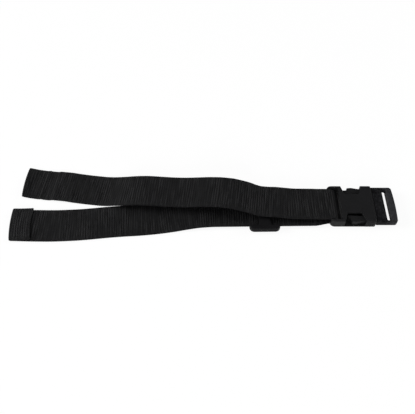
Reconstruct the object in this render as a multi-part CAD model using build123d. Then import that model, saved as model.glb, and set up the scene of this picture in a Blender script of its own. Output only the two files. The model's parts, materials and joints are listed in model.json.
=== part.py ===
from build123d import *
import os
from math import atan2, cos, degrees, tan

# Luggage strap: a folded length of webbing, a side-release buckle and a tri-glide.
# Millimetres, +Z up. The model is laid out from the socket's strap bar, whose axis is
# x = 0, and is moved at the end so that the origin is the middle of its footprint.

# ---- webbing -----------------------------------------------------------------------
WEB_WIDTH = 38.0
WEB_THICK = 1.5
SLOT_SIDE = 0.4          # room beside the webbing in every slot
WEB_GAP = 0.3            # air between the webbing and the plastic it passes
LOOP_SLACK = 2.6         # how far the loop stands off the bar's inner side
UPPER_LENGTH = 320.0     # bar to the sealed end, along X
LOWER_LENGTH = 326.0     # bar to the hem's fold, along X
UPPER_SPLAY = 33.9       # sideways drift of the upper run at its end
LOWER_SPLAY = 20.3       # sideways drift of the lower run at its end
SIDE_STEP = 4.2          # sideways step of the lower run, clear of the swivelling rails
HEM_LENGTH = 21.0
HEM_GAP = 0.35           # air between the hem's two layers

# ---- drape of the webbing, x from the strap bar unless a comment says otherwise ------
SPLAY_START = -45.0      # the upper run drifts sideways from here
FOOT = -231.0            # the upper run leaves the table
LEDGE_START = -202.0     # and levels out
LEDGE_END = -160.0
LEDGE_HEIGHT = 9.7
ARCH_START = -124.0      # then rises again to its highest stretch
ARCH_END = -98.0
ARCH_HEIGHT = 18.4
ARCH_DROP = 1.1          # the arch's far shoulder is this much lower
ARCH_FOOT = -69.0        # and comes down to the buckle
WAVE_NEAR = 28.0         # low wave in the loose end, measured from the sealed end
WAVE_TOP = 44.0
WAVE_FAR = 62.0
WAVE_RISE = 1.2
TABLE_AIR = 0.1          # the loose end lies this much above the table
EXIT_START = -8.0        # the lower run drops from the loop's level
EXIT_END = -20.0         # to the tri-glide's
STEP_START = -10.0
STRAIGHT_START = -26.0   # the lower run is straight from here
STRAIGHT_LOW = -130.0    # to here
GLIDE_SLOPE = 0.0135     # sideways drift of the straight stretch, per mm
DESCENT = 36.0           # length over which the lower run comes down to the table
DRIFT_END = 64.0         # the lower run stops drifting this far before the hem's fold

# ---- hem stitching -----------------------------------------------------------------
THREAD_RADIUS = 0.35
STITCH_PITCH = 3.0
STITCH_LENGTH = 2.2
STITCH_ROWS = 3
ROW_SPACING = 6.5
HEM_MARGIN = 4.0         # raw edge to the first row
SELVAGE_MARGIN = 3.0     # webbing edge to the first stitch

# ---- socket ------------------------------------------------------------------------
LOOP_AIR = 0.5           # air between the loop and the levels of the socket's two faces
RAIL = 2.9               # plastic beside the strap slot
SOCKET_LENGTH = 45.9
SOCKET_THICK = 10.4
PLATE = 2.2              # top and bottom plates
WALL = 2.2               # side walls beside the mouth
SLOT_WEB_ROOM = 2.0      # free stretch of the strap slot, beyond the webbing
CROSS_BAR = 3.2          # solid bar between the strap slot and the cavity
SHOULDER = 5.0           # rounded corners at the strap end
SOCKET_EDGE = 1.2
WINDOW_START = 14.3      # strap end to the window, at the outer edge
MOUTH_WALL = 10.5        # closed wall between the window and the mouth
WINDOW_SLANT = 3.3       # how much the window narrows at each end
WINDOW_DEPTH = 10.5
RIDGES = 7
RIDGE_PITCH = 1.35
RIDGE_RADIUS = 0.45
LIP_LENGTH = 1.6
LIP_HEIGHT = 0.35

# ---- plug --------------------------------------------------------------------------
FIT = 0.3                # plug to socket, all round
TAIL_LENGTH = 22.3
TAIL_THICK = 6.8
TAIL_RAIL = 2.3
TAIL_BASE = 11.4         # mouth to the strap slot
TAIL_SLOT = 4.4
TAIL_BOW = 1.0           # the end bar bulges this much in the middle
TAIL_CORNER = 3.0
TAIL_EDGE = 1.2
BLOCK_LENGTH = 2.6       # part of the base inside the mouth
TONGUE_HALF = 4.8
TONGUE_ROOM = 5.9        # cross bar to the tongue's tip
TONGUE_THICK = 3.6

# ---- spring arms of the plug -------------------------------------------------------
ARM_ROOT = 2.0           # radius of the round root
ARM_INSET = 4.5          # channel wall to the root centre
ARM_ROOM = 1.7           # cross bar to the arm's tip
ARM_TIP_SLANT = 2.5      # length of the slant at the tip
ARM_TIP_STEP = 1.4       # how far inside the root's line the tip's corner is
ARM_TAPER = 1.2          # the arm's inner side narrows this much towards the tip
PAD_WIDTH = 6.8
PAD_RISE = 1.45          # pad above the channel wall
PAD_PEAK = 9.4           # window's mouth end to the pad's highest point
PAD_START = 2.0          # window's mouth end to where the pad starts to rise
PAD_LEAD = 3.1           # flat stretch of the pad inside the channel
PAD_NECK = 2.0           # length of the step from the pad down to the arm's neck
PAD_CROWN = 4.2          # length of the pad's crown
CROWN_DROP = 0.3

# ---- tri-glide ---------------------------------------------------------------------
GLIDE_LENGTH = 31.0
GLIDE_RAIL = 4.3
GLIDE_END_BAR = 5.0
GLIDE_SLOT = 4.5
GLIDE_LOW = 2.4          # top of the two end bars
GLIDE_TOP = 7.0
GLIDE_ROOM = 1.4         # air between the tri-glide and the upper run over it
GLIDE_CORNER = 5.0
GLIDE_EDGE = 1.0
GLIDE_CENTRE = -69.0     # glide's middle, from the strap bar

# ---- values that follow ------------------------------------------------------------
SLOT_WIDTH = WEB_WIDTH + 2 * SLOT_SIDE
SOCKET_WIDTH = SLOT_WIDTH + 2 * RAIL
MID_HEIGHT = SOCKET_THICK / 2
BAR_RADIUS = MID_HEIGHT - LOOP_AIR - WEB_THICK - WEB_GAP
SOCKET_LEFT = -BAR_RADIUS
MOUTH = SOCKET_LEFT + SOCKET_LENGTH
LOOP_RADIUS = BAR_RADIUS + WEB_GAP + WEB_THICK / 2
LOOP_END = LOOP_RADIUS + LOOP_SLACK
SLOT_END = LOOP_END + WEB_THICK / 2 + SLOT_WEB_ROOM
CAVITY_START = SLOT_END + CROSS_BAR
CHANNEL_HALF = SOCKET_WIDTH / 2 - WALL
WINDOW_EDGE = MOUTH - MOUTH_WALL
UPPER_LEVEL = MID_HEIGHT + LOOP_RADIUS
LOWER_LEVEL = MID_HEIGHT - LOOP_RADIUS
PASS_LEVEL = max(UPPER_LEVEL, GLIDE_TOP + GLIDE_ROOM + WEB_THICK / 2)
TABLE_LEVEL = WEB_THICK / 2
GLIDE_LEVEL = GLIDE_LOW + WEB_GAP + WEB_THICK / 2
ARM_ROOT_X = MOUTH - BLOCK_LENGTH
ARM_ROOT_SIDE = CHANNEL_HALF - ARM_INSET
TAIL_WIDTH = SLOT_WIDTH + 2 * TAIL_RAIL
TAIL_START = MOUTH + FIT
TAIL_END = TAIL_START + TAIL_LENGTH
ARM_BOTTOM = PLATE + FIT
ARM_THICK = SOCKET_THICK - 2 * ARM_BOTTOM
FOLD_RADIUS = (WEB_THICK + HEM_GAP) / 2
HEM_LEVEL = TABLE_LEVEL + WEB_THICK + HEM_GAP
LOOSE_LEVEL = TABLE_LEVEL + TABLE_AIR
PAST = 1.0               # how far a cutter runs past the face it cuts
NEAR = 0.01              # tolerance when an edge is picked by its place


def lower_side(x):
    """Sideways place of the lower run on its straight stretch."""
    return -SIDE_STEP + (x - STRAIGHT_START) * GLIDE_SLOPE


# Control points of the webbing's two runs. A profile is (x, height of the middle of the
# webbing) and a plan is (x, y). Each corner is rounded by the radius beside it.
UPPER_PROFILE = [
    (-UPPER_LENGTH - WEB_WIDTH, LOOSE_LEVEL, 0),
    (-UPPER_LENGTH + WAVE_NEAR, LOOSE_LEVEL, 150),
    (-UPPER_LENGTH + WAVE_TOP, LOOSE_LEVEL + WAVE_RISE, 90),
    (-UPPER_LENGTH + WAVE_FAR, LOOSE_LEVEL, 150),
    (FOOT, LOOSE_LEVEL, 60),
    (LEDGE_START, LEDGE_HEIGHT, 70),
    (LEDGE_END, LEDGE_HEIGHT, 90),
    (ARCH_START, ARCH_HEIGHT - ARCH_DROP, 90),
    (ARCH_END, ARCH_HEIGHT, 60),
    (ARCH_FOOT, PASS_LEVEL, 25),
    (LOOP_END, UPPER_LEVEL, LOOP_RADIUS),
    (LOOP_END, MID_HEIGHT, 0),
]
LOWER_PROFILE = [
    (LOOP_END, MID_HEIGHT, 0),
    (LOOP_END, LOWER_LEVEL, LOOP_RADIUS),
    (EXIT_START, LOWER_LEVEL, 20),
    (EXIT_END, GLIDE_LEVEL, 20),
    (STRAIGHT_LOW, GLIDE_LEVEL, 200),
    (STRAIGHT_LOW - DESCENT, TABLE_LEVEL, 200),
    (-LOWER_LENGTH + TABLE_LEVEL, TABLE_LEVEL, FOLD_RADIUS),
    (-LOWER_LENGTH + TABLE_LEVEL, HEM_LEVEL, FOLD_RADIUS),
    (-LOWER_LENGTH + HEM_LENGTH, HEM_LEVEL, 0),
]
UPPER_PLAN = [
    (WEB_WIDTH, 0, 0),
    (SPLAY_START, 0, 300),
    (-UPPER_LENGTH, UPPER_SPLAY, 0),
]
LOWER_PLAN = [
    (WEB_WIDTH, 0, 0),
    (STEP_START, 0, 40),
    (STRAIGHT_START, -SIDE_STEP, 60),
    (STRAIGHT_LOW, lower_side(STRAIGHT_LOW), 300),
    (-LOWER_LENGTH + DRIFT_END, -LOWER_SPLAY, 400),
    (-LOWER_LENGTH - WEB_WIDTH, -LOWER_SPLAY, 0),
]


def side_of_band(points, shift):
    """Edges of a rounded polyline moved sideways by shift, to the left of its run."""
    spots = [Vector(x, y) for x, y, _ in points]
    ways = [(b - a).normalized() for a, b in zip(spots, spots[1:])]
    lefts = [Vector(-way.Y, way.X) for way in ways]
    last = spots[0] + lefts[0] * shift
    edges = []
    for i in range(1, len(ways)):
        middle = (lefts[i - 1] + lefts[i]).normalized()
        corner = spots[i] + middle * (shift / middle.dot(lefts[i]))
        turn = atan2(ways[i - 1].cross(ways[i]).Z, ways[i - 1].dot(ways[i]))
        hand = 1 if turn > 0 else -1
        radius = points[i][2] - hand * shift
        reach = radius * tan(abs(turn) / 2)
        start = corner - ways[i - 1] * reach
        end = corner + ways[i] * reach
        top = corner + middle * (hand * radius * (1 / cos(turn / 2) - 1))
        if (start - last).length > 0.001:
            edges.append(Line(last, start))
        edges.append(ThreePointArc(start, top, end))
        last = end
    finish = spots[-1] + lefts[-1] * shift
    if (finish - last).length > 0.001:
        edges.append(Line(last, finish))
    return edges, spots[0] + lefts[0] * shift, finish


def band(points, width):
    """Flat face of constant width along a rounded polyline."""
    left, left_start, left_end = side_of_band(points, width / 2)
    right, right_start, right_end = side_of_band(points, -width / 2)
    caps = [Line(left_start, right_start), Line(left_end, right_end)]
    return make_face(left + right + caps)


def run_of_webbing(profile, plan):
    """One run: the sheet seen from the side, kept where the strip seen from above is."""
    sheet = extrude(Plane.XZ * band(profile, WEB_THICK), amount=3 * WEB_WIDTH, both=True)
    strip = extrude(band(plan, WEB_WIDTH), amount=3 * WEB_WIDTH)
    return sheet & strip


def make_webbing():
    """The webbing: upper run, loop round the strap bar, lower run and folded hem."""
    upper = run_of_webbing(UPPER_PROFILE, UPPER_PLAN)
    lower = run_of_webbing(LOWER_PROFILE, LOWER_PLAN)
    return upper + lower


def make_stitch():
    """One stitch through both layers of the hem: a bar on top and a leg at each end."""
    top = 2 * WEB_THICK + HEM_GAP
    leg = Cylinder(THREAD_RADIUS, top - THREAD_RADIUS, align=(Align.CENTER, Align.CENTER, Align.MIN))
    bar = Rot(90, 0, 0) * Cylinder(THREAD_RADIUS, STITCH_LENGTH)
    ends = [Pos(0, side * STITCH_LENGTH / 2, 0) for side in (-1, 1)]
    legs = [end * Pos(0, 0, THREAD_RADIUS) * leg for end in ends]
    caps = [end * Pos(0, 0, top) * Sphere(THREAD_RADIUS) for end in ends]
    return legs[0] + legs[1] + caps[0] + caps[1] + Pos(0, 0, top) * bar


def make_hem_stitching():
    """Rows of lock stitches across the hem."""
    usable = WEB_WIDTH - 2 * SELVAGE_MARGIN - STITCH_LENGTH
    count = int(usable / STITCH_PITCH) + 1
    stitch = make_stitch()
    stitches = []
    for row in range(STITCH_ROWS):
        x = -LOWER_LENGTH + HEM_LENGTH - HEM_MARGIN - row * ROW_SPACING
        for i in range(count):
            y = -LOWER_SPLAY + (i - (count - 1) / 2) * STITCH_PITCH
            stitches.append(Pos(x, y, 0) * stitch)
    return Compound(children=stitches)


def slab(left, right, half_width, bottom, top):
    """Box between two x values, centred on the centre line, between two heights."""
    box = Box(right - left, 2 * half_width, top - bottom, align=(Align.MIN, Align.CENTER, Align.MIN))
    return Pos(left, 0, bottom) * box


def make_socket_shell():
    """Outer shape of the socket, before anything is cut from it."""
    shell = slab(SOCKET_LEFT, MOUTH, SOCKET_WIDTH / 2, 0, SOCKET_THICK)
    upright = shell.edges().filter_by(Axis.Z).sort_by(Axis.X)
    shell = fillet(upright[:2], SHOULDER)
    upright = shell.edges().filter_by(Axis.Z).sort_by(Axis.X)
    shell = fillet(upright[-2:], SOCKET_EDGE)
    rims = shell.faces().sort_by(Axis.Z)
    return fillet(rims[0].edges() + rims[-1].edges(), SOCKET_EDGE)


def make_window(side):
    """Cutter for the opening over one spring arm, through the top plate and side wall."""
    outer = side * (SOCKET_WIDTH / 2 + RIDGE_RADIUS)
    inner = side * (SOCKET_WIDTH / 2 - WINDOW_DEPTH)
    start = SOCKET_LEFT + WINDOW_START
    outline = [
        (start, outer),
        (WINDOW_EDGE, outer),
        (WINDOW_EDGE, side * CHANNEL_HALF),
        (WINDOW_EDGE - WINDOW_SLANT, inner),
        (start + WINDOW_SLANT, inner),
    ]
    return extrude(Pos(0, 0, PLATE) * make_face(Polyline(*outline, close=True)), amount=SOCKET_THICK)


def make_ridges(side):
    """Upright grip ridges on the outside of one mouth wall."""
    height = SOCKET_THICK - 2 * SOCKET_EDGE
    first = MOUTH - LIP_LENGTH - RIDGE_RADIUS - (RIDGES - 1) * RIDGE_PITCH
    ridge = Cylinder(RIDGE_RADIUS, height)
    spots = [Pos(first + i * RIDGE_PITCH, side * SOCKET_WIDTH / 2, MID_HEIGHT) for i in range(RIDGES)]
    return [spot * ridge for spot in spots]


def make_socket():
    """Socket: strap bar between two rails, cross bar, plates, mouth walls and windows."""
    body = make_socket_shell()
    body -= slab(SOCKET_LEFT - PAST, SLOT_END, SLOT_WIDTH / 2, -PAST, SOCKET_THICK + PAST)
    body += Pos(0, 0, MID_HEIGHT) * Rot(90, 0, 0) * Cylinder(BAR_RADIUS, SLOT_WIDTH + RAIL)
    body -= slab(CAVITY_START, MOUTH + PAST, CHANNEL_HALF, PLATE, SOCKET_THICK - PLATE)
    lip = slab(MOUTH - LIP_LENGTH, MOUTH, CHANNEL_HALF - LIP_LENGTH, SOCKET_THICK - PLATE / 2,
               SOCKET_THICK + LIP_HEIGHT)
    body += fillet(lip.edges().filter_by(Axis.Y).sort_by(Axis.Z)[-2:], LIP_HEIGHT * 0.8)
    for side in (-1, 1):
        body -= make_window(side)
        for ridge in make_ridges(side):
            body += ridge
    return body


def make_tail():
    """The plug outside the socket: solid base, strap slot and bowed end bar."""
    half = TAIL_WIDTH / 2
    straight_end = TAIL_END - TAIL_BOW
    outline = [
        Line((TAIL_START, half), (straight_end, half)),
        ThreePointArc((straight_end, half), (TAIL_END, 0), (straight_end, -half)),
        Line((straight_end, -half), (TAIL_START, -half)),
        Line((TAIL_START, -half), (TAIL_START, half)),
    ]
    bottom = (SOCKET_THICK - TAIL_THICK) / 2
    tail = extrude(Pos(0, 0, bottom) * make_face(outline), amount=TAIL_THICK)
    tail = fillet(tail.edges().filter_by(Axis.Z).sort_by(Axis.X)[-2:], TAIL_CORNER)
    rims = tail.faces().filter_by(Axis.Z)
    tail = fillet(rims[0].edges() + rims[1].edges(), TAIL_EDGE)
    slot_start = MOUTH + TAIL_BASE
    slot = slab(slot_start, slot_start + TAIL_SLOT, SLOT_WIDTH / 2, 0, SOCKET_THICK)
    slot = fillet(slot.edges().filter_by(Axis.Z), TAIL_EDGE)
    tail -= slot
    mouths = [e for e in tail.edges() if on_slot_rim(e, slot_start, bottom)]
    return fillet(mouths, TAIL_EDGE * 0.6)


def on_slot_rim(edge, slot_start, bottom):
    """True for the edges where the plug's strap slot opens above and below."""
    spot = edge.center()
    inside = slot_start - NEAR <= spot.X <= slot_start + TAIL_SLOT + NEAR
    level = min(abs(spot.Z - bottom), abs(spot.Z - bottom - TAIL_THICK)) < NEAR
    return inside and level and abs(spot.Y) <= SLOT_WIDTH / 2 + NEAR


def make_plug():
    """Plug: tail, the block that fills the mouth, and the guide tongue."""
    tail = make_tail()
    half = CHANNEL_HALF - FIT
    block = slab(ARM_ROOT_X, TAIL_START + TAIL_EDGE * 2, half, ARM_BOTTOM, ARM_BOTTOM + ARM_THICK)
    seat = Cylinder(ARM_ROOT + FIT, SOCKET_THICK)
    for side in (-1, 1):
        block -= Pos(ARM_ROOT_X, side * ARM_ROOT_SIDE, MID_HEIGHT) * seat
    tongue_bottom = MID_HEIGHT - TONGUE_THICK / 2
    tongue = slab(CAVITY_START + TONGUE_ROOM, TAIL_START, TONGUE_HALF, tongue_bottom,
                  tongue_bottom + TONGUE_THICK)
    tongue = fillet(tongue.edges().filter_by(Axis.Z).sort_by(Axis.X)[:2], TONGUE_HALF * 0.6)
    return tail + block + tongue


def make_arm(side):
    """One spring arm with its thumb pad, from the round root to the tapered tip."""
    flush = CHANNEL_HALF - FIT
    peak = flush + PAD_RISE
    lead = WINDOW_EDGE + PAD_LEAD
    tip = CAVITY_START + ARM_ROOM
    high = WINDOW_EDGE - PAD_PEAK
    inner = peak - PAD_WIDTH
    outline = [
        (ARM_ROOT_X, ARM_ROOT_SIDE + ARM_ROOT),
        (lead + PAD_NECK, ARM_ROOT_SIDE + ARM_ROOT),
        (lead, flush),
        (WINDOW_EDGE - PAD_START, flush),
        (high, peak),
        (high - PAD_CROWN, peak - CROWN_DROP),
        (tip + ARM_TIP_SLANT, ARM_ROOT_SIDE + ARM_TIP_STEP / 2),
        (tip, ARM_ROOT_SIDE - ARM_TIP_STEP),
        (tip + ARM_ROOT, inner - ARM_TAPER),
        (lead, inner),
        (ARM_ROOT_X, ARM_ROOT_SIDE - ARM_ROOT),
    ]
    points = [(x, side * y) for x, y in outline]
    flat = make_face(Polyline(*points, close=True))
    flat = fillet(flat.vertices().sort_by(Axis.X)[:3], ARM_ROOT / 2)
    arm = extrude(Pos(0, 0, ARM_BOTTOM) * flat, amount=ARM_THICK)
    root = Cylinder(ARM_ROOT, ARM_THICK)
    arm += Pos(ARM_ROOT_X, side * ARM_ROOT_SIDE, MID_HEIGHT) * root
    return arm


def make_tri_glide():
    """Tri-glide: two low end bars, a raised centre bar and two side rails."""
    half_length = GLIDE_LENGTH / 2
    half_width = SLOT_WIDTH / 2 + GLIDE_RAIL
    frame = slab(-half_length, half_length, half_width, 0, GLIDE_TOP)
    frame = fillet(frame.edges().filter_by(Axis.Z), GLIDE_CORNER)
    rims = frame.faces().filter_by(Axis.Z)
    frame = fillet(rims[0].edges() + rims[1].edges(), GLIDE_EDGE)
    centre_half = half_length - GLIDE_END_BAR - GLIDE_SLOT
    centre_bottom = GLIDE_LEVEL + WEB_THICK / 2 + WEB_GAP
    for hand in (-1, 1):
        ends = sorted((hand * centre_half, hand * (half_length - GLIDE_END_BAR)))
        frame -= slab(ends[0], ends[1], SLOT_WIDTH / 2, -PAST, GLIDE_TOP + PAST)
        ends = sorted((hand * (centre_half + GLIDE_SLOT), hand * (half_length + PAST)))
        frame -= slab(ends[0], ends[1], SLOT_WIDTH / 2, GLIDE_LOW, GLIDE_TOP + PAST)
    frame -= slab(-centre_half, centre_half, SLOT_WIDTH / 2, -PAST, centre_bottom)
    tops = [e for e in frame.edges().filter_by(Axis.Y) if abs(e.center().Z - GLIDE_TOP) < NEAR
            and abs(abs(e.center().X) - centre_half) < NEAR]
    frame = fillet(tops, GLIDE_EDGE)
    drift = lower_side(GLIDE_CENTRE)
    turned = Rot(0, 0, degrees(atan2(GLIDE_SLOPE, 1)))
    return Pos(GLIDE_CENTRE, drift, 0) * turned * frame


def main():
    """Build every piece, move the origin to the footprint's middle and export."""
    pieces = {
        "webbing": make_webbing(),
        "hem_stitching": make_hem_stitching(),
        "socket": make_socket(),
        "plug": make_plug(),
        "plug_arm_far": make_arm(1),
        "plug_arm_near": make_arm(-1),
        "tri_glide": make_tri_glide(),
    }
    box = Compound(children=[piece.moved(Location()) for piece in pieces.values()]).bounding_box()
    home = Pos(-(box.min.X + box.max.X) / 2, -(box.min.Y + box.max.Y) / 2, -box.min.Z)
    os.makedirs("parts", exist_ok=True)
    for name, piece in pieces.items():
        export_step(home * piece, f"parts/{name}.step")
    bar = home.position
    print("strap bar axis at", bar.X, bar.Y, bar.Z + MID_HEIGHT)
    print("glide slope", GLIDE_SLOPE, "arm roots at x", bar.X + ARM_ROOT_X, "y", bar.Y, "+-", ARM_ROOT_SIDE)
    print("plug slot x from", bar.X + MOUTH + TAIL_BASE, "half width", SLOT_WIDTH / 2)


main()
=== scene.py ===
import json
import logging
import math
from dataclasses import dataclass, field
from enum import Enum
from typing import Any, Callable, Optional, Sequence

import bpy
import numpy as np
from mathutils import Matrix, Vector


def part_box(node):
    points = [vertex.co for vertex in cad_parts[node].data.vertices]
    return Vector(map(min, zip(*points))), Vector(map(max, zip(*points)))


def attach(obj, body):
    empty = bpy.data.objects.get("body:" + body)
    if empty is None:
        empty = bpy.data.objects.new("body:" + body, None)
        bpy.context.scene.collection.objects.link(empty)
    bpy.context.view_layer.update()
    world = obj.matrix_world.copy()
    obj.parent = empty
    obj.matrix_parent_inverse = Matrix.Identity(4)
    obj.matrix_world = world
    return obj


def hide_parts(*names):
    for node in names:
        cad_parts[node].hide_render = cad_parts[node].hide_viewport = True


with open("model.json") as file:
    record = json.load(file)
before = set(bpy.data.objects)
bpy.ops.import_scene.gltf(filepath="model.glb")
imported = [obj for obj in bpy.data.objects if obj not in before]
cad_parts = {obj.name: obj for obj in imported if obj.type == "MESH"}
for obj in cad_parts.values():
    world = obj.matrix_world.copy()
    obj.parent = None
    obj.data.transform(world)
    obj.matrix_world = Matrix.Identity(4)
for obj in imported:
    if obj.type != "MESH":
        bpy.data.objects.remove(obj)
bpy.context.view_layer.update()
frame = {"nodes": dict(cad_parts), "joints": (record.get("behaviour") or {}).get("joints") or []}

Pair = tuple[float, float]
Point = tuple[float, float, float]

log = logging.getLogger("luggage_strap")
MM = 0.001
WAVE_PERIOD = 0.314          # a wave texture of scale 1 repeats after this length
EDGE_POINTS = 3              # points that round each edge of the webbing's section


class Slot(Enum):
    """Material slot names of the record for the new pieces; nothing in the script reads them."""

    WEBBING = "webbing"
    THREAD = "thread"


class Body(Enum):
    """CAD bodies that new pieces ride on."""

    STRAP = "strap"


def linear(hex_colour: str) -> tuple[float, float, float, float]:
    """Turn an sRGB hex colour into linear light, by the sRGB standard's own curve.

    Args:
        hex_colour: six hex digits, with or without a leading hash.

    Returns:
        Red, green, blue and an alpha of 1.
    """
    digits = hex_colour.lstrip("#")
    parts = [int(digits[i:i + 2], 16) / 255 for i in (0, 2, 4)]
    light = [c / 12.92 if c <= 0.04045 else ((c + 0.055) / 1.055) ** 2.4 for c in parts]
    return (light[0], light[1], light[2], 1.0)


def add_node(tree: bpy.types.NodeTree, kind: str, settings: Optional[dict[str, Any]] = None,
             inputs: Optional[dict[Any, Any]] = None) -> bpy.types.Node:
    """Add a shader node with its settings and its inputs.

    Args:
        tree: the material's node tree.
        kind: the node's type name.
        settings: attributes of the node.
        inputs: a value or an output socket for each input, by name or number.

    Returns:
        The new node.
    """
    node = tree.nodes.new(kind)
    for name, value in (settings or {}).items():
        setattr(node, name, value)
    for key, value in (inputs or {}).items():
        if isinstance(value, bpy.types.NodeSocket):
            tree.links.new(value, node.inputs[key])
        else:
            node.inputs[key].default_value = value
    return node


def new_material(name: str) -> tuple[bpy.types.Material, bpy.types.NodeTree]:
    """Make an empty node material.

    Args:
        name: the material's name.

    Returns:
        The material and its node tree, with nothing in it.
    """
    material = bpy.data.materials.new(name)
    material.use_nodes = True
    material.node_tree.nodes.clear()
    return material, material.node_tree


def add_mesh(name: str, verts: Sequence[Sequence[float]], faces: Sequence[Sequence[int]],
             smooth: bool = True) -> bpy.types.Object:
    """Make a mesh object and link it to the scene.

    Args:
        name: name of the object and of its mesh.
        verts: vertices in metres.
        faces: corners of each face.
        smooth: True for smooth shading.

    Returns:
        The new object.
    """
    mesh = bpy.data.meshes.new(name)
    mesh.from_pydata(verts, [], faces)
    mesh.polygons.foreach_set("use_smooth", [smooth] * len(mesh.polygons))
    mesh.update()
    piece = bpy.data.objects.new(name, mesh)
    bpy.context.scene.collection.objects.link(piece)
    return piece


def tube_faces(start: int, rings: int, ring: int) -> list[tuple[int, ...]]:
    """Join rings of vertices into a tube that is closed at both ends.

    Args:
        start: number of the first ring's first vertex.
        rings: how many rings there are.
        ring: how many vertices a ring has.

    Returns:
        The side faces, then the two end faces.
    """
    faces: list[tuple[int, ...]] = []
    for i in range(rings - 1):
        low, high = start + i * ring, start + (i + 1) * ring
        for j in range(ring):
            k = (j + 1) % ring
            faces.append((low + j, high + j, high + k, low + k))
    last = start + (rings - 1) * ring
    faces.append(tuple(range(start, start + ring)))
    faces.append(tuple(range(last + ring - 1, last - 1, -1)))
    return faces


@dataclass(frozen=True)
class WovenPolypropylene:
    """Webbing woven from black multifilament polypropylene.

    The thick weft makes ribs straight across the strip, and the warp yarns cross them as
    fine lengthwise cords, so the eye sees soft ribs with a dull, slightly waxy shine.
    Sizes are in millimetres, and a pair of sizes is along the strip and across it.
    """

    name: str = "woven_polypropylene"
    crown: str = "#1d1d1e"       # tops of the yarns
    groove: str = "#030304"      # between the yarns: painted shade in the grooves
    width: float = 38.0
    rib_pitch: float = 2.4       # between weft ribs
    cord_pitch: float = 1.25     # between warp cords, drawn about twice as coarse as real
    fibre: float = 0.3125        # across a bundle of fibres, drawn several times coarser than real
    fibre_rough: float = 0.6     # how strongly the finest fibres show
    slant_share: float = 0.35    # how much the slanted weft adds to a rib
    cord_share: float = 0.45     # height of the cords against the ribs
    fibre_share: float = 0.9     # height of the fibres against the ribs
    selvage: float = 2.6         # plain edge without ribs
    selvage_fade: float = 1.2    # the ribs come in over this width
    selvage_ribs: float = 0.15   # what is left of the ribs in the selvage
    selvage_turn: Pair = (1.6, 0.4)            # from the edge: where the weft turns back
    selvage_shade: float = 0.55  # the turned weft at the two edges takes less light
    press_patch: Pair = (16.6667, 33.3333)     # places where the weave was pressed more or less
    press_levels: Pair = (0.35, 0.65)          # noise levels of the most and the least pressed
    press_height: Pair = (0.35, 1.35)          # height of the weave there
    streak: Pair = (1.81818, 22.2222)          # ribs where the weft was drawn tight
    streak_levels: Pair = (0.46, 0.66)
    streak_tone: Pair = (-0.2, 2.6)            # such a rib is paler
    wear_patch: float = 14.2857
    wear_levels: Pair = (0.3, 0.7)
    wear_tone: Pair = (0.45, 0.8)              # from the least to the most handled
    shade_heights: Pair = (-0.7, 2.0)          # all groove, all crown
    relief: float = 0.2          # depth that the bump stands for
    roughness: float = 0.6
    groove_roughness: float = 0.15             # rougher than that in the grooves
    crown_polish: float = 0.1    # smoother than that on the crowns
    ior: float = 1.49
    specular: float = 0.12
    sheen: float = 0.01
    sheen_roughness: float = 0.5

    def build(self) -> bpy.types.Material:
        """Build the material. It reads the strip's own length and width in mm from its UV map.

        Returns:
            The material.
        """
        material, tree = new_material(self.name)
        strip = add_node(tree, "ShaderNodeUVMap", {"uv_map": "strip"})
        split = add_node(tree, "ShaderNodeSeparateXYZ", inputs={0: strip.outputs[0]})
        middle = add_node(tree, "ShaderNodeMath", {"operation": "SUBTRACT"},
                          {0: split.outputs["Y"], 1: self.width / 2})
        off = add_node(tree, "ShaderNodeMath", {"operation": "ABSOLUTE"}, {0: middle.outputs[0]})
        press = self.press(tree, strip.outputs[0])
        height = self.height(tree, strip.outputs[0], split, off.outputs[0], press)
        shade = add_node(tree, "ShaderNodeMapRange", {"interpolation_type": "SMOOTHSTEP"},
                         {"Value": height, "From Min": self.shade_heights[0],
                          "From Max": self.shade_heights[1]})
        level = add_node(tree, "ShaderNodeMath", {"operation": "MULTIPLY"},
                         {0: shade.outputs[0], 1: self.tone(tree, strip.outputs[0], off.outputs[0], press)})
        # painted shade: the colour goes from groove to crown with the weave's height
        colour = add_node(tree, "ShaderNodeMix", {"data_type": "RGBA"},
                          {0: level.outputs[0], 6: linear(self.groove), 7: linear(self.crown)})
        bump = add_node(tree, "ShaderNodeBump",
                        inputs={"Strength": 1.0, "Distance": self.relief * MM, "Height": height})
        gloss = add_node(tree, "ShaderNodeMapRange",
                         inputs={"Value": shade.outputs[0],
                                 "To Min": self.roughness + self.groove_roughness,
                                 "To Max": self.roughness - self.crown_polish})
        shader = add_node(tree, "ShaderNodeBsdfPrincipled",
                          inputs={"Base Color": colour.outputs[2], "Roughness": gloss.outputs[0],
                                  "IOR": self.ior, "Specular IOR Level": self.specular,
                                  "Sheen Weight": self.sheen, "Sheen Roughness": self.sheen_roughness,
                                  "Normal": bump.outputs[0]})
        add_node(tree, "ShaderNodeOutputMaterial", inputs={"Surface": shader.outputs[0]})
        return material

    def press(self, tree: bpy.types.NodeTree, strip: bpy.types.NodeSocket) -> bpy.types.NodeSocket:
        """Add the slow change in how far the weave was pressed flat.

        Args:
            tree: the material's node tree.
            strip: place on the strip in mm.

        Returns:
            The weave's height there, against its usual height.
        """
        patch = add_node(tree, "ShaderNodeMapping",
                         inputs={"Vector": strip,
                                 "Scale": (1 / self.press_patch[0], 1 / self.press_patch[1], 1.0)})
        wander = add_node(tree, "ShaderNodeTexNoise", {"noise_dimensions": "2D"},
                          {"Vector": patch.outputs[0], "Scale": 1.0, "Detail": 1.0})
        full = add_node(tree, "ShaderNodeMapRange", {"interpolation_type": "SMOOTHSTEP"},
                        {"Value": wander.outputs[0], "From Min": self.press_levels[0],
                         "From Max": self.press_levels[1], "To Min": self.press_height[0],
                         "To Max": self.press_height[1]})
        return full.outputs[0]

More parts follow.
